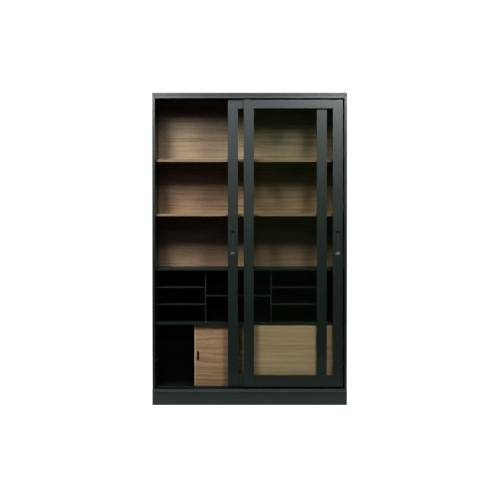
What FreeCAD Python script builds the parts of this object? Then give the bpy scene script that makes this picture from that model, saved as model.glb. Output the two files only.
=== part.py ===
import FreeCAD, Part
import os
import Sketcher

# Display cabinet with sliding glass doors.  Millimetres, +Z up, the front faces -Y.
# The origin is under the middle of the plinth, on the floor.

DIMENSIONS = [
    ("overall_width", 1310, "bottom board and plinth, side to side"),
    ("overall_depth", 420, "nose of the bottom board to the wall rails"),
    ("overall_height", 2100, "floor to the top of the top board"),
    ("carcass_width", 1308, "outside of one side panel to the outside of the other"),
    ("board", 18, "side panels, top board, shelves and plinth boards"),
    ("plinth_height", 86, "floor to the underside of the bottom board"),
    ("plinth_rear_inset", 18, "plinth rear board in from the wall, for a skirting board"),
    ("bottom_board", 22, "thickness of the bottom board"),
    ("nose", 4, "how far the foot of the bottom board's front edge stands forward"),
    ("inner_floor", 10, "board that raises the floor behind the big doors"),
    ("fascia_height", 19, "strip that hides the top track"),
    ("fascia_depth", 12, "thickness of that strip"),
    ("back_panel", 8, "thickness of the back panels"),
    ("wall_rail", 12, "thickness of the rails behind the back panels"),
    ("wall_rail_height", 100, "height of the wall rails"),
    ("wall_hole_radius", 3.5, "screw holes in the wall rails"),
    ("wall_hole_x", 500, "wall screw holes each side of the middle"),
    ("rebate", 8, "rebate in the side panels that takes the back panels"),
    ("shelf_setback", 65, "shelf fronts behind the carcass front"),
    ("shelf_pitch", 367.2, "centre of one shelf to the centre of the next"),
    ("low_shelf_z", 545.4, "centre height of the lowest shelf"),
    ("shelf_play", 0.5, "gap at each end of a loose shelf"),
    ("cell_board", 10, "pigeonhole dividers and trays"),
    ("cell_setback", 50, "pigeonhole fronts behind the shelf fronts"),
    ("housing", 3, "depth of the housings that the pigeonhole boards sit in"),
    ("divider_left_x", -300, "middle of the left divider"),
    ("divider_centre_x", 146, "middle of the centre divider"),
    ("divider_right_x", 482, "middle of the right divider"),
    ("door_width", 668, "each glass door"),
    ("door_height", 1933, "each glass door"),
    ("door_depth", 20, "each glass door"),
    ("door_foot", 121.5, "height of the doors' bottom edge"),
    ("front_track", 23, "middle of the front door behind the carcass front"),
    ("track_pitch", 24, "middle of the front door to the middle of the rear door"),
    ("right_door_x", -40, "left edge of the right door, closed"),
    ("left_door_x", -147, "left edge of the left door, slid half open"),
    ("stile", 68.5, "width of the door stiles"),
    ("door_top_rail", 58, "height of the door top rails"),
    ("door_bottom_rail", 77, "height of the door bottom rails"),
    ("tenon_length", 25, "rail tenons"),
    ("tenon_depth", 8, "thickness of the rail tenons"),
    ("tenon_shoulder", 14, "height of the shoulders above and below a tenon"),
    ("glass", 5, "thickness of the panes"),
    ("glass_rebate", 9, "width of the rebate for the pane"),
    ("glass_front", 8, "frame in front of the pane"),
    ("glass_play", 1, "gap between the pane and its rebate"),
    ("pull_length", 160, "mouth of the flush pull"),
    ("pull_width", 30, "mouth of the flush pull"),
    ("pull_floor_length", 126, "floor of the flush pull"),
    ("pull_floor_width", 26, "floor of the flush pull"),
    ("pull_depth", 8, "depth of the flush pull"),
    ("pull_wall", 2, "rim of the flush pull"),
    ("pull_z", 1094, "middle height of the flush pulls"),
    ("wheel_radius", 14, "flanges of a door wheel"),
    ("wheel_tread", 13, "bottom of a door wheel's groove"),
    ("wheel_width", 8, "thickness of a door wheel"),
    ("wheel_flange", 2, "thickness of a wheel flange"),
    ("wheel_z", 125, "height of the door wheel axles"),
    ("wheel_inset", 113, "door wheel in from the door's edge"),
    ("axle_radius", 3, "door wheel axle"),
    ("running_fit", 0.05, "radial clearance of a door wheel on its axle"),
    ("carriage_length", 60, "wheel housing"),
    ("carriage_depth", 13, "wheel housing, front to back"),
    ("carriage_height", 29, "wheel housing"),
    ("carriage_wall", 2, "cheeks of the wheel housing"),
    ("guide_length", 32, "nylon guide at the top of a door"),
    ("guide_depth", 12, "nylon guide, front to back"),
    ("guide_inset", 24, "guide in from the door's edge"),
    ("guide_root", 25, "guide let into the top of a stile"),
    ("guide_top", 2074, "top of the nylon guides"),
    ("rail_plate", 2, "base of the bottom track"),
    ("rail_rib", 2, "height of the ribs that the wheels run on"),
    ("rail_rib_width", 3, "width of the ribs"),
    ("rail_margin", 15, "track base beyond the middle of a rib"),
    ("channel_plate", 3, "base of the top track"),
    ("channel_wall", 2, "legs of the top track"),
    ("channel_width", 13, "inside width of a top channel"),
    ("channel_depth", 18, "overall height of the top track"),
    ("bead_kerf", 0.2, "mitre gap between two beads"),
    ("bumper_length", 7.7, "rubber bumper"),
    ("bumper_radius", 5, "rubber bumper"),
    ("small_door_width", 651, "each small door"),
    ("small_door_depth", 18, "each small door"),
    ("small_front_track", 78, "middle of the right small door behind the carcass front"),
    ("small_rear_track", 100, "middle of the left small door behind the carcass front"),
    ("small_right_x", -16, "left edge of the right small door, closed"),
    ("small_left_x", -375, "left edge of the left small door, slid part open"),
    ("small_gap", 1.2, "small door clear of the floor and of the shelf above"),
    ("tongue", 8, "thickness of the small doors' tongues"),
    ("tongue_play", 0.5, "gap each side of a tongue in its groove"),
    ("floor_groove", 7, "depth of the grooves in the inner floor"),
    ("shelf_groove", 10, "depth of the grooves under the lowest shelf"),
    ("slot_length", 62, "finger slot"),
    ("slot_width", 12, "finger slot"),
    ("slot_inset", 25, "finger slot in from the small door's edge"),
    ("slot_z", 323, "middle height of the finger slots"),
    ("dowel_radius", 4, "beech dowels"),
    ("dowel_half", 12, "half the length of a dowel"),
    ("pin_radius", 2.5, "shelf pins"),
    ("pin_sunk", 10, "shelf pin inside the side panel"),
    ("pin_proud", 8, "shelf pin outside the side panel"),
    ("screw_radius", 1.5, "screw shanks"),
    ("screw_head", 3, "screw heads"),
    ("screw_head_depth", 1.5, "screw heads"),
    ("soft_edge", 0.8, "rounding of the arrises"),
]

# Levels and planes that many pieces share, written once as expressions.
FRONT = "(dims.nose - dims.overall_depth / 2)"
REAR = "(dims.overall_depth / 2)"
INNER = "(dims.carcass_width / 2 - dims.board)"
FLOOR = "(dims.plinth_height + dims.bottom_board)"
CEILING = "(dims.overall_height - dims.board)"
RAISED = f"({FLOOR} + dims.inner_floor)"
BACK = f"({REAR} - dims.wall_rail - dims.back_panel)"
SHELF_FRONT = f"({FRONT} + dims.shelf_setback)"
CELL_FRONT = f"({SHELF_FRONT} + dims.cell_setback)"
CELL_FLOOR = "(dims.low_shelf_z + dims.board / 2)"
CELL_CEILING = "(dims.low_shelf_z + dims.shelf_pitch - dims.board / 2)"
FRONT_TRACK = f"({FRONT} + dims.front_track)"
REAR_TRACK = f"({FRONT_TRACK} + dims.track_pitch)"
TRACK_MIDDLE = f"({FRONT_TRACK} + dims.track_pitch / 2)"
DOOR_TOP = "(dims.door_foot + dims.door_height)"

doc = FreeCAD.newDocument("showcase")
dims = doc.addObject("Spreadsheet::Sheet", "dims")
for row, (alias, number, meaning) in enumerate(DIMENSIONS, start=1):
    dims.set(f"A{row}", meaning)
    dims.set(f"B{row}", str(number))
    dims.setAlias(f"B{row}", alias)
doc.recompute()

SOFT = dims.soft_edge
nodes = []


def keep(piece, label):
    """Marks an object as a finished piece and gives it its name."""
    piece.Label = label
    nodes.append(piece)
    return piece


def place(thing, x, y, z):
    """Ties a position to three expressions."""
    thing.setExpression("Placement.Base.x", x)
    thing.setExpression("Placement.Base.y", y)
    thing.setExpression("Placement.Base.z", z)


def block(name, x, y, z):
    """A box that runs between two expressions along each axis."""
    box = doc.addObject("Part::Box", name)
    box.setExpression("Length", f"({x[1]}) - ({x[0]})")
    box.setExpression("Width", f"({y[1]}) - ({y[0]})")
    box.setExpression("Height", f"({z[1]}) - ({z[0]})")
    place(box, x[0], y[0], z[0])
    return box


def around(middle, size):
    """The two ends of a length that is centred on a position."""
    return (f"({middle}) - ({size}) / 2", f"({middle}) + ({size}) / 2")


TURNS = {
    "x": FreeCAD.Rotation(FreeCAD.Vector(0, 1, 0), 90),
    "y": FreeCAD.Rotation(FreeCAD.Vector(1, 0, 0), -90),
    "z": FreeCAD.Rotation(),
}


def rod(name, axis, radius, length, x, y, z):
    """A cylinder that starts at a point and runs along +X, +Y or +Z."""
    cylinder = doc.addObject("Part::Cylinder", name)
    cylinder.Placement = FreeCAD.Placement(FreeCAD.Vector(), TURNS[axis])
    cylinder.setExpression("Radius", radius)
    cylinder.setExpression("Height", length)
    place(cylinder, x, y, z)
    return cylinder


def group(name, things):
    """Several separate solids kept as one piece."""
    compound = doc.addObject("Part::Compound", name)
    compound.Links = things
    return compound


def fuse(name, things):
    """Several touching solids joined to one."""
    joined = doc.addObject("Part::MultiFuse", name)
    joined.Shapes = things
    return joined


def cut(name, base, tools):
    """A solid with others taken out of it."""
    tool = tools[0] if len(tools) == 1 else group(name + "_tools", tools)
    result = doc.addObject("Part::Cut", name)
    result.Base = base
    result.Tool = tool
    return result


def box_edges(shape, faces):
    """Numbers of the edges that lie on the named faces of the shape's own box."""
    box = shape.BoundBox
    planes = {
        "left": (0, box.XMin), "right": (0, box.XMax),
        "front": (1, box.YMin), "rear": (1, box.YMax),
        "foot": (2, box.ZMin), "top": (2, box.ZMax),
    }
    found = []
    for number, edge in enumerate(shape.Edges, start=1):
        on = set()
        for face, (axis, level) in planes.items():
            if all(abs(v.Point[axis] - level) < 1e-6 for v in edge.Vertexes):
                on.add(face)
        if len(on) == 2 and on & set(faces):
            found.append(number)
    return found


def soften(name, base, faces, radius=SOFT):
    """Rounds the arrises around the named faces of a piece."""
    doc.recompute()
    rounded = doc.addObject("Part::Fillet", name)
    rounded.Base = base
    rounded.Edges = [(number, radius, radius) for number in box_edges(base.Shape, faces)]
    return rounded


def origin_plane(body, role):
    """One of a body's own origin planes."""
    return [f for f in body.Origin.OriginFeatures if f.Role == role][0]


def outline(body, name, corners):
    """A closed sketch on the body's YZ plane; each corner is held by two distances.

    The distances decide where a corner goes, so the lines only start as a rough ring.
    """
    sketch = body.newObject("Sketcher::SketchObject", name)
    sketch.AttachmentSupport = [(origin_plane(body, "YZ_Plane"), "")]
    sketch.MapMode = "FlatFace"
    count = len(corners)
    ring = []
    for index in range(count):
        spin = FreeCAD.Rotation(FreeCAD.Vector(0, 0, 1), 360 * index / count)
        ring.append(FreeCAD.Vector(30, 30, 0) + spin.multVec(FreeCAD.Vector(10, 0, 0)))
    for index in range(count):
        sketch.addGeometry(Part.LineSegment(ring[index], ring[(index + 1) % count]), False)
    for index in range(count):
        sketch.addConstraint(Sketcher.Constraint("Coincident", index, 2, (index + 1) % count, 1))
    for index, corner in enumerate(corners):
        for kind, axis, distance in zip(("DistanceX", "DistanceY"), (-2, -1), corner):
            if distance == "0":
                sketch.addConstraint(Sketcher.Constraint("PointOnObject", index, 1, axis))
            else:
                held = sketch.addConstraint(Sketcher.Constraint(kind, -1, 1, index, 1, 30.0))
                sketch.setExpression(f"Constraints[{held}]", distance)
    return sketch


def extrusion(name, corners, length):
    """A profile drawn in Y and Z that runs along X."""
    body = doc.addObject("PartDesign::Body", name)
    sketch = outline(body, name + "_profile", corners)
    pad = body.newObject("PartDesign::Pad", name + "_pad")
    pad.Profile = sketch
    pad.setExpression("Length", length)
    body.Tip = pad
    return body


# ---------------------------------------------------------------- fixings
# Dowels, pins and screws come first, because the boards are bored to fit them.
DOWEL_DEPTHS = (-150, 0, 150)
SHELF_DOWEL_DEPTHS = (-70, 45, 160)
dowels = []
for side in (-1, 1):
    middle = f"{side} * (dims.carcass_width / 2 - dims.board / 2)"
    face = f"{side} * {INNER} - dims.dowel_half"
    for depth in DOWEL_DEPTHS:
        for level in (FLOOR, CEILING):
            dowels.append(
                rod("dowel_end", "z", "dims.dowel_radius", "2 * dims.dowel_half",
                    middle, str(depth), f"{level} - dims.dowel_half")
            )
    for depth in SHELF_DOWEL_DEPTHS:
        for level in ("dims.low_shelf_z", "dims.low_shelf_z + dims.shelf_pitch"):
            dowels.append(
                rod("dowel_shelf", "x", "dims.dowel_radius", "2 * dims.dowel_half",
                    face, str(depth), level)
            )
carcass_dowels = keep(group("carcass_dowels", dowels), "carcass_dowels")

LOOSE_SHELVES = {"walnut_shelf_lower": 2, "walnut_shelf_upper": 3}
pins = []
for steps in LOOSE_SHELVES.values():
    under = f"dims.low_shelf_z + {steps} * dims.shelf_pitch - dims.board / 2 - dims.pin_radius"
    for side in (-1, 1):
        start = f"{side} * {INNER} - " + ("dims.pin_sunk" if side < 0 else "dims.pin_proud")
        for depth in (-95, 145):
            pins.append(
                rod("pin", "x", "dims.pin_radius", "dims.pin_sunk + dims.pin_proud",
                    start, str(depth), under)
            )
shelf_pins = keep(group("shelf_pins", pins), "shelf_pins")


def screw(axis, length, x, y, z, flip=False):
    """A screw whose head starts at a point; its shank runs along +axis, or back if flipped."""
    head_start = [x, y, z]
    shank_start = [x, y, z]
    index = "xyz".index(axis)
    if flip:
        head_start[index] += " - dims.screw_head_depth"
        shank_start[index] += f" - ({length})"
    head = rod("screw_head", axis, "dims.screw_head", "dims.screw_head_depth", *head_start)
    shank = rod("screw_shank", axis, "dims.screw_radius", length, *shank_start)
    return fuse("screw", [head, shank])


PANEL_FACE = f"{REAR} - dims.wall_rail"
EDGE_X = f"({INNER} + dims.rebate / 2)"
PANEL_SCREW_LEVELS = (230, 380, 520, 575, 730, 885, 935, 1200, 1470, 1740, 1960)
RAIL_SCREW_INSETS = (25, 75)
panel_screws = []
rail_screws = []
for side in (-1, 1):
    for level in PANEL_SCREW_LEVELS:
        panel_screws.append(screw("y", "25", f"{side} * {EDGE_X}", PANEL_FACE, str(level), flip=True))
    for inset in RAIL_SCREW_INSETS:
        for level in (f"{FLOOR} + {inset}", f"{CEILING} - {inset}"):
            rail_screws.append(screw("y", "40", f"{side} * {EDGE_X}", REAR, level, flip=True))
back_screws = keep(group("back_screws", panel_screws + rail_screws), "back_screws")

TRACK_SCREW_PLACES = (-540, -270, 0, 270, 540)
track_low = []
track_high = []
for along in TRACK_SCREW_PLACES:
    track_low.append(
        screw("z", "16", str(along), TRACK_MIDDLE, f"{FLOOR} + dims.rail_plate", flip=True)
    )
    track_high.append(
        screw("z", "14", str(along), TRACK_MIDDLE, f"{CEILING} - dims.channel_plate")
    )
track_screws = keep(group("track_screws", track_low + track_high), "track_screws")

# ---------------------------------------------------------------- pigeonhole boards
DIVIDER_DEPTH = (CELL_FRONT, BACK)
divider_blanks = {}
for label in ("divider_left", "divider_centre", "divider_right"):
    divider_blanks[label] = block(
        label + "_blank",
        around(f"dims.{label}_x", "dims.cell_board"),
        DIVIDER_DEPTH,
        (f"{CELL_FLOOR} - dims.housing", f"{CELL_CEILING} + dims.housing"),
    )

THIRD = f"({CELL_CEILING} - {CELL_FLOOR}) / 3"
LEFT_OF = "dims.{0}_x - dims.cell_board / 2 + dims.housing"
RIGHT_OF = "dims.{0}_x + dims.cell_board / 2 - dims.housing"
LEFT_BAY = (f"-{INNER} - dims.housing", LEFT_OF.format("divider_left"))
CENTRE_BAY = (RIGHT_OF.format("divider_left"), LEFT_OF.format("divider_centre"))
RIGHT_BAY = (RIGHT_OF.format("divider_centre"), LEFT_OF.format("divider_right"))
TRAYS = {
    "tray_left_lower": (LEFT_BAY, f"{CELL_FLOOR} + {THIRD}"),
    "tray_left_upper": (LEFT_BAY, f"{CELL_FLOOR} + 2 * {THIRD}"),
    "tray_centre": (CENTRE_BAY, f"{CELL_FLOOR} + 1.5 * {THIRD}"),
    "tray_right_lower": (RIGHT_BAY, f"{CELL_FLOOR} + {THIRD}"),
    "tray_right_upper": (RIGHT_BAY, f"{CELL_FLOOR} + 2 * {THIRD}"),
}
trays = {}
for label, (span, level) in TRAYS.items():
    trays[label] = block(label + "_blank", span, DIVIDER_DEPTH, around(level, "dims.cell_board"))
LEFT_TRAYS = [trays["tray_left_lower"], trays["tray_left_upper"]]
RIGHT_TRAYS = [trays["tray_right_lower"], trays["tray_right_upper"]]
HOUSED = {
    "divider_left": LEFT_TRAYS + [trays["tray_centre"]],
    "divider_centre": RIGHT_TRAYS + [trays["tray_centre"]],
    "divider_right": RIGHT_TRAYS,
}
for label, tray in trays.items():
    keep(soften(label, tray, ["front"], SOFT / 2), label)
for label, blank in divider_blanks.items():
    housed = cut(label + "_housed", blank, HOUSED[label])
    keep(soften(label, housed, ["front"], SOFT / 2), label)

# ---------------------------------------------------------------- carcass
for label, side in (("side_panel_left", -1), ("side_panel_right", 1)):
    inner, outer = f"{side} * {INNER}", f"{side} * dims.carcass_width / 2"
    step = f"{side} * ({INNER} + dims.rebate)"
    left, right = (outer, inner) if side < 0 else (inner, outer)
    step_left, step_right = (step, inner) if side < 0 else (inner, step)
    blank = block(label + "_blank", (left, right), (FRONT, REAR), (FLOOR, CEILING))
    back_step = block(label + "_step", (step_left, step_right), (BACK, REAR), (FLOOR, CEILING))
    bores = [back_step, carcass_dowels, shelf_pins, back_screws]
    if side < 0:
        bores += LEFT_TRAYS
    bored = cut(label + "_bored", blank, [fuse(label + "_bores", bores)])
    keep(soften(label, bored, ["front", "rear"]), label)

WIDE = ("-dims.carcass_width / 2", "dims.carcass_width / 2")
BETWEEN = (f"-{INNER}", INNER)
top_blank = block("top_blank", WIDE, (FRONT, REAR), (CEILING, "dims.overall_height"))
top_bored = cut("top_bored", top_blank, [carcass_dowels, track_screws])
keep(soften("top_panel", top_bored, ["front", "left", "right", "top"]), "top_panel")

fascia_blank = block(
    "fascia_blank", BETWEEN, (FRONT, f"{FRONT} + dims.fascia_depth"),
    (f"{CEILING} - dims.fascia_height", CEILING),
)
keep(soften("top_fascia", fascia_blank, ["front"]), "top_fascia")

# The front edge of the bottom board leans back from its foot to the carcass front.
bottom_body = extrusion(
    "bottom_body",
    [
        ("0", "0"),
        ("dims.overall_depth", "0"),
        ("dims.overall_depth", "dims.bottom_board"),
        ("dims.nose", "dims.bottom_board"),
        ("0", "dims.soft_edge"),
    ],
    "dims.overall_width",
)
place(bottom_body, "-dims.overall_width / 2", f"-{REAR}", "dims.plinth_height")
bottom_bored = cut("bottom_bored", bottom_body, [carcass_dowels, track_screws])
keep(bottom_bored, "bottom_panel")

PLINTH = ("0", "dims.plinth_height")
PLINTH_OUT = "dims.overall_width / 2"
PLINTH_IN = "dims.overall_width / 2 - dims.board"
PLINTH_DEPTH = (f"{FRONT} + dims.board", f"{REAR} - dims.plinth_rear_inset")
plinth_blanks = {
    "plinth_front": block(
        "plinth_front_blank", (f"-{PLINTH_OUT}", PLINTH_OUT), (FRONT, f"{FRONT} + dims.board"), PLINTH
    ),
    "plinth_left": block(
        "plinth_left_blank", (f"-{PLINTH_OUT}", f"-({PLINTH_IN})"), PLINTH_DEPTH, PLINTH
    ),
    "plinth_right": block("plinth_right_blank", (PLINTH_IN, PLINTH_OUT), PLINTH_DEPTH, PLINTH),
    "plinth_rear": block(
        "plinth_rear_blank", (f"-({PLINTH_IN})", PLINTH_IN),
        (f"{PLINTH_DEPTH[1]} - dims.board", PLINTH_DEPTH[1]), PLINTH,
    ),
}
PLINTH_EDGES = {
    "plinth_front": ["left", "right", "foot"],
    "plinth_left": ["foot"],
    "plinth_right": ["foot"],
    "plinth_rear": ["foot"],
}
for label, blank in plinth_blanks.items():
    keep(soften(label, blank, PLINTH_EDGES[label]), label)

# Back panels meet on the middle lines of the fixed shelves.
BACK_WIDE = (f"-{INNER} - dims.rebate", f"{INNER} + dims.rebate")
BACK_JOINTS = [FLOOR, "dims.low_shelf_z", "dims.low_shelf_z + dims.shelf_pitch", CEILING]
BACK_LABELS = ("back_panel_lower", "back_panel_middle", "back_panel_upper")
for label, foot, head in zip(BACK_LABELS, BACK_JOINTS[:-1], BACK_JOINTS[1:]):
    blank = block(label + "_blank", BACK_WIDE, (BACK, f"{REAR} - dims.wall_rail"), (foot, head))
    keep(cut(label, blank, [back_screws]), label)

RAIL_DEPTH = (f"{REAR} - dims.wall_rail", REAR)
WALL_RAILS = {
    "wall_rail_bottom": (FLOOR, f"{FLOOR} + dims.wall_rail_height"),
    "wall_rail_top": (f"{CEILING} - dims.wall_rail_height", CEILING),
}
for label, (foot, head) in WALL_RAILS.items():
    blank = block(label + "_blank", BACK_WIDE, RAIL_DEPTH, (foot, head))
    holes = []
    for side in (-1, 1):
        holes.append(
            rod("wall_hole", "y", "dims.wall_hole_radius", "dims.wall_rail",
                f"{side} * dims.wall_hole_x", RAIL_DEPTH[0],
                f"{foot} + dims.wall_rail_height / 2")
        )
    keep(cut(label, blank, holes + [back_screws]), label)

# ---------------------------------------------------------------- shelves and inner floor
SHELF_DEPTH = (SHELF_FRONT, BACK)


def groove(name, track, foot, head):
    """The groove that a small door's tongue slides in, from side panel to side panel."""
    width = "dims.tongue + 2 * dims.tongue_play"
    return block(name, BETWEEN, around(f"{FRONT} + dims.{track}", width), (foot, head))


SMALL_TRACKS = ("small_front_track", "small_rear_track")
floor_blank = block("floor_blank", BETWEEN, SHELF_DEPTH, (FLOOR, RAISED))
floor_grooves = []
shelf_grooves = []
LOW_UNDERSIDE = "dims.low_shelf_z - dims.board / 2"
for track in SMALL_TRACKS:
    floor_grooves.append(groove("floor_groove", track, f"{RAISED} - dims.floor_groove", RAISED))
    shelf_grooves.append(
        groove("shelf_groove", track, LOW_UNDERSIDE, f"{LOW_UNDERSIDE} + dims.shelf_groove")
    )
floor_cut = cut("floor_cut", floor_blank, floor_grooves)
keep(soften("raised_floor", floor_cut, ["front"]), "raised_floor")

FIXED_SHELVES = {"fixed_shelf_lower": 0, "fixed_shelf_upper": 1}
for label, steps in FIXED_SHELVES.items():
    middle = f"dims.low_shelf_z + {steps} * dims.shelf_pitch"
    blank = block(label + "_blank", BETWEEN, SHELF_DEPTH, around(middle, "dims.board"))
    tools = [carcass_dowels] + list(divider_blanks.values())
    if steps == 0:
        tools += shelf_grooves
    bored = cut(label + "_bored", blank, tools)
    keep(soften(label, bored, ["front"]), label)

LOOSE_WIDE = (f"-{INNER} + dims.shelf_play", f"{INNER} - dims.shelf_play")
for label, steps in LOOSE_SHELVES.items():
    middle = f"dims.low_shelf_z + {steps} * dims.shelf_pitch"
    blank = block(label + "_blank", LOOSE_WIDE, SHELF_DEPTH, around(middle, "dims.board"))
    keep(soften(label, blank, ["front"]), label)

# ---------------------------------------------------------------- tracks and bumpers
RUN = f"2 * {INNER}"
RIB_HALF = "dims.rail_rib_width / 2"
RAIL_TOP = "dims.rail_plate + dims.rail_rib"
FRONT_RIB = "dims.rail_margin"
REAR_RIB = "dims.rail_margin + dims.track_pitch"
RAIL_WIDE = "2 * dims.rail_margin + dims.track_pitch"
rail_corners = [("0", "0"), (RAIL_WIDE, "0"), (RAIL_WIDE, "dims.rail_plate")]
for rib in (REAR_RIB, FRONT_RIB):
    rail_corners += [
        (f"{rib} + {RIB_HALF}", "dims.rail_plate"),
        (f"{rib} + {RIB_HALF} - 0.4", RAIL_TOP),
        (f"{rib} - {RIB_HALF} + 0.4", RAIL_TOP),
        (f"{rib} - {RIB_HALF}", "dims.rail_plate"),
    ]
rail_corners.append(("0", "dims.rail_plate"))
rail_body = extrusion("rail_body", rail_corners, RUN)
place(rail_body, f"-{INNER}", f"{FRONT_TRACK} - dims.rail_margin", FLOOR)
keep(cut("door_track_bottom", rail_body, [track_screws]), "door_track_bottom")

# Two channels, open downwards, side by side on one base.
HIGH = "dims.channel_depth"
LOW_OF_PLATE = "dims.channel_depth - dims.channel_plate"
LEG = "dims.channel_wall"
GAP = "dims.channel_width"
SECOND = "dims.track_pitch"
channel_corners = [
    ("0", "0"),
    (LEG, "0"),
    (LEG, LOW_OF_PLATE),
    (f"{LEG} + {GAP}", LOW_OF_PLATE),
    (f"{LEG} + {GAP}", "0"),
    (f"2 * {LEG} + {GAP}", "0"),
    (f"2 * {LEG} + {GAP}", LOW_OF_PLATE),
    (SECOND, LOW_OF_PLATE),
    (SECOND, "0"),
    (f"{SECOND} + {LEG}", "0"),
    (f"{SECOND} + {LEG}", LOW_OF_PLATE),
    (f"{SECOND} + {LEG} + {GAP}", LOW_OF_PLATE),
    (f"{SECOND} + {LEG} + {GAP}", "0"),
    (f"{SECOND} + 2 * {LEG} + {GAP}", "0"),
    (f"{SECOND} + 2 * {LEG} + {GAP}", HIGH),
    ("0", HIGH),
]
channel_body = extrusion("channel_body", channel_corners, RUN)
place(
    channel_body, f"-{INNER}", f"{FRONT_TRACK} - {GAP} / 2 - {LEG}", f"{CEILING} - dims.channel_depth"
)
keep(cut("door_track_top", channel_body, [track_screws]), "door_track_top")

bumpers = []
for side in (-1, 1):
    start = f"-{INNER}" if side < 0 else f"{INNER} - dims.bumper_length"
    for track in (FRONT_TRACK, REAR_TRACK):
        for level in (300, 1900):
            bumpers.append(
                rod("bumper", "x", "dims.bumper_radius", "dims.bumper_length", start, track, str(level))
            )
keep(group("door_bumpers", bumpers), "door_bumpers")


# ---------------------------------------------------------------- glass doors
def wheel(label, x, y):
    """A grooved wheel that turns on a Y axis."""
    body = doc.addObject("PartDesign::Body", label)
    bore = "dims.axle_radius + dims.running_fit"
    flange, wide = "dims.wheel_flange", "dims.wheel_width"
    sketch = outline(
        body, label + "_section",
        [
            ("0", bore),
            (wide, bore),
            (wide, "dims.wheel_radius"),
            (f"{wide} - {flange} + 0.3", "dims.wheel_radius"),
            (f"{wide} - {flange}", "dims.wheel_tread"),
            (flange, "dims.wheel_tread"),
            (f"{flange} - 0.3", "dims.wheel_radius"),
            ("0", "dims.wheel_radius"),
        ],
    )
    turned = body.newObject("PartDesign::Revolution", label + "_turned")
    turned.Profile = sketch
    turned.ReferenceAxis = (sketch, ["H_Axis"])
    turned.Angle = 360
    body.Tip = turned
    place(body, x, f"{y} - dims.wheel_width / 2", "dims.wheel_z")
    keep(body, label)


def carriage(x, y):
    """A wheel housing with its axle, open underneath."""
    top = "dims.door_foot + dims.carriage_height"
    shell = block(
        "carriage_shell", around(x, "dims.carriage_length"), around(y, "dims.carriage_depth"),
        ("dims.door_foot", top),
    )
    well = block(
        "carriage_well",
        around(x, "2 * dims.wheel_radius + 6"),
        around(y, "dims.carriage_depth - 2 * dims.carriage_wall"),
        ("dims.door_foot - 1", "dims.wheel_z + dims.wheel_radius + 2"),
    )
    hollow = cut("carriage_hollow", shell, [well])
    axle = rod(
        "carriage_axle", "y", "dims.axle_radius", "dims.carriage_depth",
        x, f"{y} - dims.carriage_depth / 2", "dims.wheel_z",
    )
    return fuse("carriage", [hollow, axle])


def mitre_kerf(name, x, y, z, angle):
    """A thin slanting cut, centred on one corner of a pane, that parts two beads."""
    reach = 40
    kerf = doc.addObject("Part::Box", name)
    kerf.setExpression("Length", "dims.bead_kerf")
    kerf.setExpression("Width", "dims.door_depth")
    kerf.Height = reach
    tilt = FreeCAD.Rotation(FreeCAD.Vector(0, 1, 0), angle)
    kerf.Placement = FreeCAD.Placement(FreeCAD.Vector(), tilt)
    middle = tilt.multVec(FreeCAD.Vector(0, 0, reach / 2))
    place(kerf, f"{x} - {middle.x}", y, f"{z} - {middle.z}")
    return kerf


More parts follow.
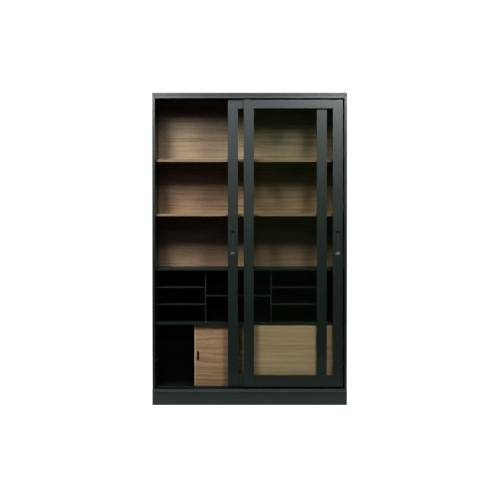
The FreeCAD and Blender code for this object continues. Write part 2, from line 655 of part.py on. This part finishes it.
def glass_door(prefix, left, track, pull_side):
    """A framed glass door: stiles, rails, pane, beads, pull, wheels and guides."""
    right = f"({left} + dims.door_width)"
    front = f"({track} - dims.door_depth / 2)"
    rear = f"({track} + dims.door_depth / 2)"
    sight_left = f"({left} + dims.stile)"
    sight_right = f"({right} - dims.stile)"
    sight_foot = "(dims.door_foot + dims.door_bottom_rail)"
    sight_head = f"({DOOR_TOP} - dims.door_top_rail)"
    pane_front = f"({front} + dims.glass_front)"
    pane_rear = f"({pane_front} + dims.glass)"
    rebate = block(
        prefix + "_rebate",
        (f"{sight_left} - dims.glass_rebate", f"{sight_right} + dims.glass_rebate"),
        (pane_front, rear),
        (f"{sight_foot} - dims.glass_rebate", f"{sight_head} + dims.glass_rebate"),
    )

    # Wheel housings in the bottom rail, guides in the tops of the stiles.
    wheel_xs = (f"{left} + dims.wheel_inset", f"{right} - dims.wheel_inset")
    carriages = [carriage(x, track) for x in wheel_xs]
    pockets = []
    for x in wheel_xs:
        pockets.append(
            block(
                prefix + "_pocket", around(x, "dims.carriage_length"),
                around(track, "dims.carriage_depth"),
                ("dims.door_foot", "dims.door_foot + dims.carriage_height"),
            )
        )
    guides = []
    for x in (f"{left} + dims.guide_inset", f"{right} - dims.guide_inset"):
        guides.append(
            block(
                prefix + "_guide", around(x, "dims.guide_length"), around(track, "dims.guide_depth"),
                (f"{DOOR_TOP} - dims.guide_root", "dims.guide_top"),
            )
        )

    # Rails with a tenon at each end.
    rails = {
        "rail_bottom": ("dims.door_foot", sight_foot),
        "rail_top": (sight_head, DOOR_TOP),
    }
    rail_blanks = {}
    for part, (foot, head) in rails.items():
        body = block(prefix + part + "_body", (sight_left, sight_right), (front, rear), (foot, head))
        tenon = block(
            prefix + part + "_tenon",
            (f"{sight_left} - dims.tenon_length", f"{sight_right} + dims.tenon_length"),
            (front + " + dims.glass_front - dims.tenon_depth + 3", front + " + dims.glass_front + 3"),
            (f"{foot} + dims.tenon_shoulder", f"{head} - dims.tenon_shoulder"),
        )
        rounded = soften(prefix + part + "_round", body, ["front", "rear"], SOFT / 2)
        rail_blanks[part] = (rounded, tenon)
    tenons = []
    for part, (rounded, tenon) in rail_blanks.items():
        tenons.append(tenon)
        joined = fuse(prefix + part + "_joined", [rounded, tenon])
        tools = [rebate]
        if part == "rail_bottom":
            tools = [fuse(prefix + part + "_tools", [rebate] + pockets)]
        keep(cut(prefix + part, joined, tools), f"{prefix}_{part}")

    # Flush pull: a shallow cup with sloping sides, let into one stile.
    pull_x = f"({left} + dims.stile / 2)" if pull_side == "left" else f"({right} - dims.stile / 2)"
    cup = block(
        prefix + "_cup",
        around(pull_x, "dims.pull_width + 2 * dims.pull_wall"),
        (front, f"{front} + dims.pull_depth + dims.pull_wall"),
        around("dims.pull_z", "dims.pull_length + 2 * dims.pull_wall"),
    )
    dish = doc.addObject("Part::Wedge", prefix + "_dish")
    for name, size in {
        "Xmin": "-dims.pull_width / 2", "Xmax": "dims.pull_width / 2",
        "Zmin": "-dims.pull_length / 2", "Zmax": "dims.pull_length / 2",
        "X2min": "-dims.pull_floor_width / 2", "X2max": "dims.pull_floor_width / 2",
        "Z2min": "-dims.pull_floor_length / 2", "Z2max": "dims.pull_floor_length / 2",
        "Ymin": "0", "Ymax": "dims.pull_depth",
    }.items():
        dish.setExpression(name, size)
    place(dish, pull_x, front, "dims.pull_z")
    keep(cut(prefix + "_pull", cup, [dish]), prefix + "_pull")

    # Stiles, mortised for the tenons and let out for the guides and the pull.
    for part, (x0, x1) in {"left": (left, sight_left), "right": (sight_right, right)}.items():
        name = prefix + ("_pull_stile" if part == pull_side else "_far_stile")
        blank = block(name + "_blank", (x0, x1), (front, rear), ("dims.door_foot", DOOR_TOP))
        rounded = soften(name + "_round", blank, ["front", "rear"])
        tools = tenons + guides + [rebate] + ([cup] if part == pull_side else [])
        keep(cut(name, rounded, [fuse(name + "_tools", tools)]), name)

    # The pane and the four beads that hold it in its rebate.
    held = "(dims.glass_rebate - dims.glass_play)"
    pane = block(
        prefix + "_pane",
        (f"{sight_left} - {held}", f"{sight_right} + {held}"),
        (pane_front, pane_rear),
        (f"{sight_foot} - {held}", f"{sight_head} + {held}"),
    )
    keep(pane, prefix + "_glass")
    ring = block(
        prefix + "_ring",
        (f"{sight_left} - dims.glass_rebate", f"{sight_right} + dims.glass_rebate"),
        (pane_rear, rear),
        (f"{sight_foot} - dims.glass_rebate", f"{sight_head} + dims.glass_rebate"),
    )
    sight = block(
        prefix + "_sight", (sight_left, sight_right), (pane_rear, rear), (sight_foot, sight_head)
    )
    kerfs = []
    for x, turn_left in ((sight_left, -1), (sight_right, 1)):
        for z, turn_up in ((sight_foot, -1), (sight_head, 1)):
            kerfs.append(mitre_kerf(prefix + "_kerf", x, front, z, 45 * turn_left * turn_up))
    hollow_ring = cut(prefix + "_hollow_ring", ring, [sight])
    keep(cut(prefix + "_beads", hollow_ring, kerfs), prefix + "_beads")

    keep(group(prefix + "_guides", guides), prefix + "_guides")
    keep(group(prefix + "_wheel_housings", carriages), prefix + "_wheel_housings")
    for part, x in zip(("left", "right"), wheel_xs):
        wheel(f"{prefix}_wheel_{part}", x, track)


glass_door("left_door", "dims.left_door_x", REAR_TRACK, "left")
glass_door("right_door", "dims.right_door_x", FRONT_TRACK, "right")


# ---------------------------------------------------------------- small doors
def small_door(label, left, track, slot_side):
    """A plain sliding door with tongues top and bottom and a finger slot."""
    middle = f"({FRONT} + dims.{track})"
    right = f"({left} + dims.small_door_width)"
    foot = f"({RAISED} + dims.small_gap)"
    head = f"({LOW_UNDERSIDE} - dims.small_gap)"
    depth = around(middle, "dims.small_door_depth")
    panel = block(label + "_panel", (left, right), depth, (foot, head))
    rounded = soften(label + "_round", panel, ["front", "rear"])
    tongue = block(
        label + "_tongue",
        (left, right),
        around(middle, "dims.tongue"),
        (
            f"{RAISED} - dims.floor_groove + 0.3",
            f"{LOW_UNDERSIDE} + dims.shelf_groove - 1",
        ),
    )
    joined = fuse(label + "_joined", [rounded, tongue])
    slot_x = f"{left} + dims.slot_inset" if slot_side == "left" else f"{right} - dims.slot_inset"
    straight = "(dims.slot_length - dims.slot_width)"
    slot = block(
        label + "_slot", around(slot_x, "dims.slot_width"), depth, around("dims.slot_z", straight)
    )
    ends = []
    for end in (-1, 1):
        ends.append(
            rod(label + "_slot_end", "y", "dims.slot_width / 2", "dims.small_door_depth",
                slot_x, depth[0], f"dims.slot_z + {end} * {straight} / 2")
        )
    keep(cut(label, joined, [fuse(label + "_finger", [slot] + ends)]), label)


small_door("small_door_left", "dims.small_left_x", "small_rear_track", "left")
small_door("small_door_right", "dims.small_right_x", "small_front_track", "right")

# ---------------------------------------------------------------- check and write
doc.recompute()
for thing in doc.Objects:
    if "Invalid" in thing.State or "Error" in thing.State:
        raise RuntimeError(f"{thing.Label} did not compute: {thing.State}")
for piece in nodes:
    if piece.Shape.isNull() or not piece.Shape.isValid():
        raise RuntimeError(f"{piece.Label} has no valid shape")

os.makedirs("parts", exist_ok=True)
for piece in nodes:
    piece.Shape.exportStep(os.path.join("parts", f"{piece.Label}.step"))
print(len(nodes), "pieces written")
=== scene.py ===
import math

import bpy
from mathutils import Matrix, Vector


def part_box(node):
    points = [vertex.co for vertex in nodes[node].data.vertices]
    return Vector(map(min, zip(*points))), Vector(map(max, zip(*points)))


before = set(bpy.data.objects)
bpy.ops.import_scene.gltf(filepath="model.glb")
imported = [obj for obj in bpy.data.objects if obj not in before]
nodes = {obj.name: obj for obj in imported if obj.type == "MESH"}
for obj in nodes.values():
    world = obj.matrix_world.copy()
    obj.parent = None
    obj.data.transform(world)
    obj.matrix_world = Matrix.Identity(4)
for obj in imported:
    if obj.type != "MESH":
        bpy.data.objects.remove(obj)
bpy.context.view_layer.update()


# ------------------------------------------------------------------ node helpers
class Tree:
    """Builds a material's node tree in short calls."""

    def __init__(self, name):
        self.mat = bpy.data.materials.new(name)
        self.mat.use_nodes = True
        self.nt = self.mat.node_tree
        self.nt.nodes.clear()
        self.out = self.nt.nodes.new("ShaderNodeOutputMaterial")

    def node(self, kind, **inputs):
        n = self.nt.nodes.new(kind)
        for key, value in inputs.items():
            if key.startswith("_"):
                setattr(n, key[1:], value)
                continue
            numbered = key[0] == "i" and key[1:].isdigit()
            self.feed(n.inputs[int(key[1:]) if numbered else key.replace("_", " ")], value)
        return n

    def feed(self, socket, value):
        if isinstance(value, bpy.types.NodeSocket):
            self.nt.links.new(value, socket)
        else:
            socket.default_value = value

    def coords(self, scale=(1, 1, 1), offset=(0, 0, 0), turn=(0, 0, 0)):
        place = self.node("ShaderNodeTexCoord").outputs["Object"]
        m = self.node("ShaderNodeMapping", Vector=place, Location=offset, Rotation=turn, Scale=scale)
        return m.outputs[0]

    def noise(self, vector, scale, detail=3.0, rough=0.55, distortion=0.0):
        n = self.node(
            "ShaderNodeTexNoise", Vector=vector, Scale=scale, Detail=detail, Roughness=rough, Distortion=distortion
        )
        return n.outputs["Fac"]

    def math(self, op, a, b=0.0, clamp=False):
        return self.node("ShaderNodeMath", i0=a, i1=b, _operation=op, _use_clamp=clamp).outputs[0]

    def ramp(self, fac, stops, mode="LINEAR"):
        n = self.node("ShaderNodeValToRGB", Fac=fac)
        n.color_ramp.interpolation = mode
        while len(n.color_ramp.elements) < len(stops):
            n.color_ramp.elements.new(0.5)
        for e, (pos, colour) in zip(n.color_ramp.elements, stops):
            e.position = pos
            e.color = (*colour, 1.0) if len(colour) == 3 else colour
        return n.outputs["Color"]

    def span(self, value, lo, hi, to_lo, to_hi, smooth=False):
        n = self.node("ShaderNodeMapRange", Value=value, _clamp=True)
        if smooth:
            n.interpolation_type = "SMOOTHSTEP"
        for key, number in (("From Min", lo), ("From Max", hi), ("To Min", to_lo), ("To Max", to_hi)):
            n.inputs[key].default_value = number
        return n.outputs["Result"]

    def mix(self, fac, a, b, mode="MIX"):
        n = self.node("ShaderNodeMix", _data_type="RGBA", _blend_type=mode)
        self.feed(n.inputs[0], fac)
        self.feed(n.inputs[6], a)
        self.feed(n.inputs[7], b)
        return n.outputs[2]

    def bump(self, height, strength, distance):
        return self.node("ShaderNodeBump", Height=height, Strength=strength, Distance=distance).outputs[0]

    def principled(self, **inputs):
        n = self.node("ShaderNodeBsdfPrincipled")
        for key, value in inputs.items():
            self.feed(n.inputs[key.replace("_", " ")], value)
        self.nt.links.new(n.outputs[0], self.out.inputs["Surface"])
        return self.mat


def rgb(r, g, b):
    return (r, g, b, 1.0)


# ------------------------------------------------------------------ materials
STRETCH = {"x": (1.0, 14.0, 14.0), "y": (14.0, 1.0, 14.0), "z": (14.0, 14.0, 1.0)}


def lacquer(name, along, seed, sheen=0.36, shade_scale=1.0, gloss=0.72, dusty=False):
    """Satin black lacquer over board: a faint brushed figure along the piece and fine orange peel."""
    t = Tree(name)
    figure = t.noise(t.coords(STRETCH[along], (seed, seed * 0.7, seed * 1.3)), 22.0, 5.0, 0.6)
    peel = t.noise(t.coords(offset=(seed, 0, seed)), 950.0, 2.0, 0.5)
    cloud = t.noise(t.coords(offset=(0, seed, seed * 2)), 3.2, 3.0, 0.5)
    dust_and_haze = t.noise(t.coords(offset=(seed, seed, 0)), 2600.0, 1.0, 0.5)
    # shade_scale below 1 darkens the base colour as painted shade; at 1 the lacquer keeps its own colour.
    base = t.ramp(
        figure,
        [
            (0.25, (0.0046 * shade_scale, 0.0120 * shade_scale, 0.0080 * shade_scale)),
            (0.75, (0.0084 * shade_scale, 0.0184 * shade_scale, 0.0132 * shade_scale)),
        ],
    )
    speck = t.span(dust_and_haze, 0.74, 0.80, 0.0, 0.15)
    base = t.mix(speck, base, rgb(0.05, 0.05, 0.048))
    streaks = t.span(figure, 0.2, 0.8, -0.03, 0.03)
    rough = t.math("ADD", streaks, t.span(cloud, 0.3, 0.7, sheen - 0.02, sheen + 0.02))
    if dusty:
        # Settled dust dulls the faces that look straight up.
        normal = t.node("ShaderNodeTexCoord").outputs["Normal"]
        up = t.node("ShaderNodeSeparateXYZ", Vector=normal).outputs["Z"]
        rough = t.math("ADD", rough, t.span(up, 0.6, 0.9, 0.0, 0.30))
    height = t.math("ADD", t.math("MULTIPLY", peel, 0.5), t.math("MULTIPLY", figure, 0.5))
    return t.principled(
        Base_Color=base, Roughness=rough, Normal=t.bump(height, 0.08, 0.0003), IOR=1.5,
        Specular_IOR_Level=gloss,
    )


def walnut(name, seed, warm=0.5, figure=0.5, tone=1.0, band=None, calm=0.0, lips=None):
    """Oiled walnut veneer, grain along X: long streaks, growth lines, fibres, pores and darker veins."""
    t = Tree(name)
    shift = (seed * 1.7, seed * 0.31, seed * 0.83)
    # A slow wander bends every finer layer, so that the lines rise and fall together.
    wander = t.noise(t.coords((0.75, 2.4, 2.4), shift), 1.0, 2.0, 0.5)
    flow = t.node("ShaderNodeVectorMath", _operation="MULTIPLY_ADD")
    t.feed(flow.inputs[0], t.node("ShaderNodeCombineXYZ", X=0.0, Y=wander, Z=wander).outputs[0])
    flow.inputs[1].default_value = (0.0, 0.05 + 0.12 * figure, 0.05 + 0.12 * figure)
    t.feed(flow.inputs[2], t.coords((1, 1, 1), shift))
    bent = flow.outputs[0]

    def layer(scale, detail, rough):
        m = t.node("ShaderNodeMapping", Vector=bent, Scale=scale)
        return t.noise(m.outputs[0], 1.0, detail, rough)

    rings = t.node("ShaderNodeTexWave", _wave_type="BANDS", _bands_direction="Z", _wave_profile="SAW")
    squeezed = t.node("ShaderNodeMapping", Vector=bent, Scale=(0.10, 1.0, 1.0))
    t.feed(rings.inputs["Vector"], squeezed.outputs[0])
    rings.inputs["Scale"].default_value = 11.0
    rings.inputs["Distortion"].default_value = 7.0
    rings.inputs["Detail"].default_value = 3.0
    rings.inputs["Detail Scale"].default_value = 0.9
    rings.inputs["Detail Roughness"].default_value = 0.6
    bands = rings.outputs["Fac"]
    broad = layer((0.30, 5.0, 5.0), 2.0, 0.5)
    streak = layer((1.1, 46.0, 46.0), 5.0, 0.68)
    fine = layer((2.4, 150.0, 150.0), 3.0, 0.6)
    fibre = layer((9.0, 520.0, 520.0), 3.0, 0.6)
    pores = layer((34.0, 900.0, 900.0), 1.0, 0.5)

    grain = t.math("ADD", t.math("MULTIPLY", streak, 0.50), t.math("MULTIPLY", broad, 0.24))
    grain = t.math("ADD", grain, t.math("MULTIPLY", fine, 0.22))
    grain = t.math("ADD", grain, t.math("MULTIPLY", bands, 0.04 + 0.14 * figure))
    red = 0.03 * (warm - 0.5)
    blue = -0.05 * (warm - 0.5)
    colour = t.ramp(
        grain,
        [
            (0.36, tuple(tone * v for v in (0.180 + red, 0.118 - red * 0.6, 0.068 + blue * 0.4))),
            (0.46, tuple(tone * v for v in (0.280 + red, 0.200 - red * 0.8, 0.122 + blue * 0.7))),
            (0.56, tuple(tone * v for v in (0.345 + red, 0.258 - red, 0.170 + blue))),
            (0.70, tuple(tone * v for v in (0.415 + red, 0.322 - red, 0.222 + blue))),
        ],
    )
    if band:
        # The veneer is a little greyer towards the top of the panel and redder lower down.
        height_z = t.node("ShaderNodeSeparateXYZ", Vector=t.coords()).outputs["Z"]
        drift = t.math("ADD", height_z, t.span(broad, 0.3, 0.7, -0.12, 0.12))
        high_up = t.span(drift, band[0], band[1], 0.0, 1.0, smooth=True)
        redder = t.mix(1.0, colour, rgb(1.07, 0.93, 0.91), "MULTIPLY")
        colour = t.mix(high_up, redder, colour)
    colour = t.mix(t.span(fibre, 0.3, 0.7, 0.0, 0.28), colour, rgb(0.17, 0.11, 0.07))
    pore = t.span(pores, 0.62, 0.70, 0.0, 0.5)
    colour = t.mix(pore, colour, rgb(0.055, 0.032, 0.018))
    vein = t.span(layer((0.45, 26.0, 26.0), 3.0, 0.55), 0.60, 0.72, 0.0, 0.25 + 0.5 * figure, smooth=True)
    colour = t.mix(vein, colour, rgb(0.12, 0.072, 0.042))
    if calm:
        even = tuple(tone * v for v in (0.330 + red, 0.245 - red, 0.160 + blue))
        colour = t.mix(calm, colour, rgb(*even))
    if lips:
        # Paler strips along the two upright edges of a door: a painted highlight where the edges catch the light.
        across = t.node("ShaderNodeSeparateXYZ", Vector=t.coords()).outputs["X"]
        left = t.span(across, lips[0] + 0.0065, lips[0] + 0.0075, 0.8, 0.0)
        right = t.span(across, lips[1] - 0.0075, lips[1] - 0.0065, 0.0, 0.8)
        lip = t.mix(1.0, colour, rgb(0.62, 0.56, 0.47), "SCREEN")
        colour = t.mix(t.math("ADD", left, right), colour, t.mix(0.35, colour, lip))
    rough = t.math("ADD", t.span(fibre, 0.3, 0.7, 0.50, 0.60), t.math("MULTIPLY", pore, 0.2))
    height = t.math("SUBTRACT", t.math("MULTIPLY", fibre, 0.4), pore)
    return t.principled(
        Base_Color=colour, Roughness=rough, Normal=t.bump(height, 0.22, 0.0004), Specular_IOR_Level=0.3
    )


def softwood(name, light, dark, along, seed):
    """Plain unfinished wood for the pieces behind and inside."""
    t = Tree(name)
    scale = {"x": (1.5, 30.0, 30.0), "z": (30.0, 30.0, 1.5)}[along]
    grain = t.noise(t.coords(scale, (seed, 0, seed)), 1.6, 4.0, 0.6, 0.4)
    fuzz = t.noise(t.coords(scale, (0, seed, 0)), 22.0, 2.0, 0.5)
    figure = t.ramp(grain, [(0.3, dark), (0.7, light)])
    colour = t.mix(t.span(fuzz, 0.3, 0.7, 0.0, 0.25), figure, rgb(*dark))
    return t.principled(
        Base_Color=colour, Roughness=t.span(fuzz, 0.3, 0.7, 0.6, 0.8), Normal=t.bump(fuzz, 0.3, 0.0005)
    )


def clear_glass(name):
    """Float glass: see-through, mirror-like towards grazing angles, with a faint greenish diffuse film that paints
    in a reflected haze.
    """
    t = Tree(name)
    smear = t.noise(t.coords((1.0, 1.0, 2.2)), 4.0, 4.0, 0.6)
    facing = t.math("SUBTRACT", 1.0, t.node("ShaderNodeNewGeometry").outputs["Backfacing"])
    fresnel = t.node("ShaderNodeFresnel", IOR=1.62).outputs[0]
    through = t.node("ShaderNodeBsdfTransparent")
    through.inputs["Color"].default_value = rgb(0.982, 0.988, 0.978)
    streaky = t.span(smear, 0.35, 0.75, 0.0, 0.05)
    shine = t.node("ShaderNodeBsdfGlossy", Color=rgb(0.97, 1.0, 0.97), Roughness=streaky)
    both = t.node("ShaderNodeMixShader", Fac=t.math("MULTIPLY", fresnel, facing))
    t.nt.links.new(through.outputs[0], both.inputs[1])
    t.nt.links.new(shine.outputs[0], both.inputs[2])
    # A faint green diffuse film on the panes: painted reflection, standing in for the greenish reflected haze over
    # the dark parts behind the glass.
    dust_and_haze = t.node("ShaderNodeBsdfDiffuse", Color=rgb(0.30, 0.70, 0.08))
    share = t.math("MULTIPLY", t.span(smear, 0.30, 0.70, 0.002, 0.005), facing)
    filmed = t.node("ShaderNodeMixShader", Fac=share)
    t.nt.links.new(both.outputs[0], filmed.inputs[1])
    t.nt.links.new(dust_and_haze.outputs[0], filmed.inputs[2])
    t.nt.links.new(filmed.outputs[0], t.out.inputs["Surface"])
    return t.mat


def metal(name, colour, rough, along):
    """Drawn or plated metal with fine lines along its length."""
    t = Tree(name)
    scale = {"x": (4.0, 900.0, 900.0), "y": (900.0, 4.0, 900.0), "z": (900.0, 900.0, 4.0)}[along]
    lines = t.noise(t.coords(scale), 1.0, 2.0, 0.5)
    stain = t.noise(t.coords(), 60.0, 3.0, 0.6)
    tint = t.mix(t.span(stain, 0.45, 0.75, 0.0, 0.5), rgb(*colour), rgb(*[c * 0.55 for c in colour]))
    return t.principled(
        Base_Color=tint, Metallic=1.0, Roughness=t.span(lines, 0.25, 0.75, rough - 0.07, rough + 0.10),
        Normal=t.bump(lines, 0.15, 0.0002),
    )


def moulded(name, colour, rough, grain):
    """Moulded plastic or rubber with a fine matt grain."""
    t = Tree(name)
    fine = t.noise(t.coords(), grain, 2.0, 0.5)
    wear = t.noise(t.coords(), grain / 14, 3.0, 0.6)
    worn = rgb(*[min(1.0, c * 2.2 + 0.01) for c in colour])
    tint = t.mix(t.span(wear, 0.45, 0.8, 0.0, 0.6), rgb(*colour), worn)
    return t.principled(
        Base_Color=tint, Roughness=t.span(wear, 0.3, 0.7, rough - 0.08, rough + 0.08),
        Normal=t.bump(fine, 0.25, 0.0002),
    )


def paint(names, mat):
    for name in names:
        o = nodes[name]
        for s in o.material_slots:
            s.material = mat
        if not o.material_slots:
            o.data.materials.append(mat)


UPRIGHTS = ["side_panel_left", "side_panel_right", "divider_left", "divider_centre", "divider_right"]
LENGTHS = [
    "top_panel", "top_fascia", "bottom_panel", "raised_floor", "plinth_front", "plinth_rear",
    "back_panel_lower", "back_panel_middle", "fixed_shelf_lower", "fixed_shelf_upper",
    "tray_left_lower", "tray_left_upper", "tray_centre", "tray_right_lower", "tray_right_upper",
]
paint(UPRIGHTS, lacquer("lacquer_upright", "z", 1.3))
paint(LENGTHS, lacquer("lacquer_across", "x", 4.1))
paint(["top_fascia"], lacquer("lacquer_fascia", "x", 6.3, sheen=0.34, gloss=0.75))
paint(["top_panel"], lacquer("lacquer_top", "x", 7.7, sheen=0.36, gloss=0.6, dusty=True))
# The back panels inside get a darker copy of the lacquer, its colour cut to a fifth: painted shade.
paint(
    ["back_panel_lower", "back_panel_middle"],
    lacquer("lacquer_inside_painted_shade", "x", 8.8, sheen=0.5, shade_scale=0.2, gloss=0.2),
)
paint(["plinth_left", "plinth_right"], lacquer("lacquer_deep", "y", 2.2))
for i, door in enumerate(("left_door", "right_door")):
    paint([f"{door}_pull_stile", f"{door}_far_stile"], lacquer(f"{door}_stile_lacquer", "z", 7.7 + i))
    rails = [f"{door}_rail_top", f"{door}_rail_bottom", f"{door}_beads"]
    paint(rails, lacquer(f"{door}_rail_lacquer", "x", 5.9 + i))
    paint([f"{door}_pull"], lacquer(f"{door}_pull_finish", "z", 3.4 + i, sheen=0.54, gloss=0.5))
    running = [f"{door}_wheel_left", f"{door}_wheel_right", f"{door}_guides"]
    paint(running, moulded(f"{door}_nylon", (0.03, 0.03, 0.032), 0.5, 1500.0))
WALNUT = {
    "back_panel_upper": dict(seed=2.0, warm=0.1, figure=0.15, tone=1.07, band=(1.45, 1.75)),
    "walnut_shelf_lower": dict(seed=5.7, warm=0.4, figure=0.2, tone=0.60),
    "walnut_shelf_upper": dict(seed=9.4, warm=0.5, figure=0.2, tone=0.56),
    "small_door_left": dict(seed=13.1, warm=1.0, figure=1.3, tone=0.68),
    # The right small door's brighter tone (1.16 against 0.68) is painted light for the light it loses behind the
    # glass; its calm, little-figured grain is the veneer's own.
    "small_door_right": dict(seed=16.8, warm=0.5, figure=0.1, tone=1.16, calm=0.3),
}
for name, look in WALNUT.items():
    if name.startswith("small_door"):
        low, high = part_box(name)
        look["lips"] = (low[0], high[0])
    paint([name], walnut(name + "_veneer", **look))
paint(
    ["wall_rail_top", "wall_rail_bottom"],
    softwood("rail_wood", (0.56, 0.40, 0.23), (0.40, 0.26, 0.13), "x", 3.0),
)
paint(["carcass_dowels"], softwood("dowel_wood", (0.60, 0.44, 0.28), (0.48, 0.33, 0.20), "z", 5.0))
paint(["left_door_glass", "right_door_glass"], clear_glass("pane_glass"))
paint(["back_screws", "track_screws", "shelf_pins"], metal("zinc", (0.62, 0.62, 0.60), 0.32, "y"))
paint(
    ["left_door_wheel_housings", "right_door_wheel_housings"],
    metal("housing_steel", (0.50, 0.50, 0.50), 0.38, "x"),
)
paint(["door_track_bottom", "door_track_top"], metal("anodised_black", (0.030, 0.031, 0.033), 0.42, "x"))
paint(["door_bumpers"], moulded("bumper_rubber", (0.018, 0.018, 0.018), 0.75, 900.0))

# ------------------------------------------------------------------ floor, lights, camera
BACKDROP = 0.74  # brightness of the backdrop, and of the floor far from the object
FLOOR_NEAR = 0.66  # brightness of the floor close to the object
AMBIENT = 0.012  # light from the surroundings, seen by everything except the camera
FRAME_PIXELS = 500.0
FOCAL_PIXELS = 1437.5
SENSOR = 36.0  # mm
EYE = (0.0, -9.866, 1.294)  # metres
EYE_PITCH = 89.1  # degrees from straight down, so the camera looks down by 0.9
floor_mesh = bpy.data.meshes.new("studio_floor")
floor_mesh.from_pydata([(-7, -8, 0), (7, -8, 0), (7, 5, 0), (-7, 5, 0)], [], [(0, 1, 2, 3)])
floor = bpy.data.objects.new("studio_floor", floor_mesh)
bpy.context.scene.collection.objects.link(floor)
t = Tree("floor_paper")
paper = t.noise(t.coords(), 40.0, 3.0, 0.6)
seen = t.node("ShaderNodeLightPath").outputs["Is Camera Ray"]
ahead = t.node("ShaderNodeSeparateXYZ", Vector=t.coords()).outputs["Y"]
bounce = t.span(ahead, -1.0, -0.35, 0.08, 0.70, smooth=True)
# Away from the object the paper fades into the backdrop's own brightness, so that it has no visible edge.
reach = t.node("ShaderNodeVectorMath", _operation="LENGTH", i0=t.coords()).outputs["Value"]
far = t.span(reach, 2.6, 4.8, 0.0, 1.0, smooth=True)
pale = t.ramp(paper, [(0.3, (0.24, 0.24, 0.24)), (0.7, (0.27, 0.27, 0.27))])
pale = t.mix(far, pale, rgb(0, 0, 0))
matt = t.node("ShaderNodeBsdfDiffuse", Color=t.mix(seen, bounce, pale))
level = t.span(far, 0.0, 1.0, FLOOR_NEAR, BACKDROP)
glow = t.node("ShaderNodeEmission", Color=rgb(1, 1, 1), Strength=t.math("MULTIPLY", seen, level))
both = t.node("ShaderNodeAddShader")
t.nt.links.new(matt.outputs[0], both.inputs[0])
t.nt.links.new(glow.outputs[0], both.inputs[1])
t.nt.links.new(both.outputs[0], t.out.inputs["Surface"])
floor_mesh.materials.append(t.mat)

world = bpy.data.worlds.new("studio")
bpy.context.scene.world = world
world.use_nodes = True
wt = world.node_tree
wt.nodes.clear()
seen = wt.nodes.new("ShaderNodeBackground")
seen.inputs["Color"].default_value = rgb(1, 1, 1)
seen.inputs["Strength"].default_value = BACKDROP
dim = wt.nodes.new("ShaderNodeBackground")
dim.inputs["Color"].default_value = rgb(0.92, 0.97, 1.0)
dim.inputs["Strength"].default_value = AMBIENT
path = wt.nodes.new("ShaderNodeLightPath")
pick = wt.nodes.new("ShaderNodeMixShader")
wout = wt.nodes.new("ShaderNodeOutputWorld")
wt.links.new(path.outputs["Is Camera Ray"], pick.inputs[0])
wt.links.new(dim.outputs[0], pick.inputs[1])
wt.links.new(seen.outputs[0], pick.inputs[2])
wt.links.new(pick.outputs[0], wout.inputs["Surface"])


def softbox(name, place, aim, size, power, colour=(1.0, 1.0, 1.0)):
    data = bpy.data.lights.new(name, "AREA")
    data.shape = "RECTANGLE"
    data.size, data.size_y = size
    data.energy = power
    data.color = colour
    lamp = bpy.data.objects.new(name, data)
    lamp.location = place
    lamp.rotation_mode = "QUATERNION"
    lamp.rotation_quaternion = (Vector(aim) - Vector(place)).to_track_quat("-Z", "Y")
    lamp.visible_camera = False
    bpy.context.scene.collection.objects.link(lamp)
    return lamp


# Two long key boxes hang over the floor in front, and two sheen boxes far back feed only the gloss.
KEY_Y, KEY_Z = -1.90, 2.76
KEY_LEAN, KEY_DROP = 0.156, 0.988  # the keys point almost straight down, leaning towards the object
SHEEN_TINT = (1.02, 1.0, 1.12)
for side, x, power in ((-1, -1.05, 84), (1, 0.92, 68)):
    below = (x, KEY_Y + KEY_LEAN, KEY_Z - KEY_DROP)
    softbox(f"key_{side + 1}", (x, KEY_Y, KEY_Z), below, (0.27, 1.5), power)
    place = (side * 1.15, -7.0, 3.40)
    sheen = softbox(f"sheen_{side + 1}", place, (0, -0.2, 1.8), (1.1, 0.8), 42, SHEEN_TINT)
    sheen.visible_diffuse = False
for side in (-1, 1):
    softbox(f"side_fill_{side + 1}", (side * 4.5, 0.8, 2.2), (0, 0.1, 1.0), (1.8, 2.2), 60)
    softbox(f"rear_fill_{side + 1}", (side * 2.2, 3.9, 4.9), (0, 0.2, 1.0), (1.4, 1.4), 90)

cam = bpy.data.cameras.new("camera")
eye = bpy.data.objects.new("camera", cam)
bpy.context.scene.collection.objects.link(eye)
cam.sensor_width = SENSOR
cam.lens = SENSOR * FOCAL_PIXELS / FRAME_PIXELS
cam.shift_x = 0.0007
cam.shift_y = -0.0291
cam.clip_end = 60.0
eye.location = EYE
eye.rotation_euler = (math.radians(EYE_PITCH), 0, 0)
bpy.context.scene.camera = eye
bpy.context.scene.view_settings.view_transform = "Standard"
bpy.context.scene.view_settings.look = "High Contrast"
